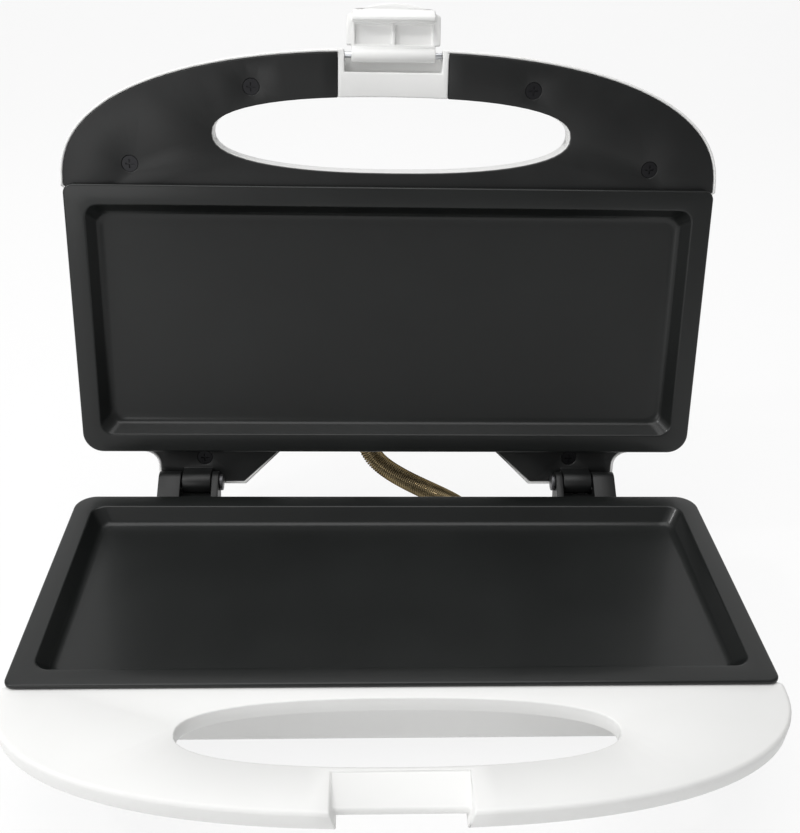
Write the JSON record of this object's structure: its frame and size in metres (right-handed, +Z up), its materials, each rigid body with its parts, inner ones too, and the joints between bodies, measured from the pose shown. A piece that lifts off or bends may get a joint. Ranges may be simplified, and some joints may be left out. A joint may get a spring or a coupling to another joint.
{
  "type": "sandwich toaster",
  "caption": "Sandwich toaster that folds shut on long flat non-stick plates, with oval finger holes in the handles, a flip latch at the front and a wound conduit between the halves",
  "frame": {"origin": "on the table under the middle of the opened toaster's outer box", "axes": "+X to the right as seen from the front, +Y towards the hinges at the back, +Z up; drawn open, lid swung back 100 degrees"},
  "size_m": [0.2388, 0.2111, 0.2113],
  "materials": {
    "white_housing": "smooth white moulded plastic with a soft gloss",
    "black_moulding": "satin black heat-resistant moulding",
    "non_stick": "dark grey non-stick coating on cast aluminium",
    "element_steel": "darkened steel sheath",
    "sheet_aluminium": "plain sheet aluminium",
    "pin_steel": "bright turned steel",
    "ceramic": "glazed ceramic",
    "brass_winding": "brass-coloured wound steel wire",
    "rubber_black": "black rubber",
    "lens_red": "clear red plastic",
    "lens_green": "clear green plastic",
    "neon_glass": "small clear glass bulb"
  },
  "bodies": {
    "base": {"base_shell": "white_housing", "lower_plate": "non_stick", "lower_element": "element_steel", "lower_element_seals": "ceramic", "lower_element_pins": "pin_steel", "lower_reflector": "sheet_aluminium", "lower_plate_screws": "pin_steel", "thermostat": "element_steel", "thermal_fuse": "brass_winding", "fuse_clip": "sheet_aluminium", "terminal_block": "ceramic", "cord_inlet": "rubber_black", "base_wires": "rubber_black", "hinge_bracket_left": "black_moulding", "hinge_bracket_right": "black_moulding", "hinge_bracket_screws": "pin_steel", "hinge_pin_left": "pin_steel", "hinge_pin_right": "pin_steel", "rubber_feet": "rubber_black", "conduit_base_collar": "brass_winding", "conduit_spring": "brass_winding", "conduit_liner": "rubber_black"},
    "lid": {"lid_shell": "white_housing", "lid_inner_cover": "black_moulding", "upper_plate": "non_stick", "upper_element": "element_steel", "upper_element_seals": "ceramic", "upper_element_pins": "pin_steel", "upper_reflector": "sheet_aluminium", "upper_plate_screws": "pin_steel", "cover_screws": "pin_steel", "lamp_lens_red": "lens_red", "lamp_lens_green": "lens_green", "lamp_holder": "black_moulding", "neon_lamps": "neon_glass", "conduit_lid_collar": "brass_winding", "lid_wires": "rubber_black", "latch_pin": "pin_steel"},
    "latch": {"latch": "white_housing"}
  },
  "joints": [
    {"name": "lid_hinge", "type": "hinge", "parent": "base", "child": "lid", "pos_m": [0, 0.05639, 0.0385], "axis": [1, 0, 0], "range_deg": [0, 100], "deforming": ["conduit_spring", "conduit_liner"]},
    {"name": "latch_pivot", "type": "hinge", "parent": "lid", "child": "latch", "pos_m": [0, 0.09033, 0.19468], "axis": [1, 0, 0], "range_deg": [0, 98]}
  ]
}
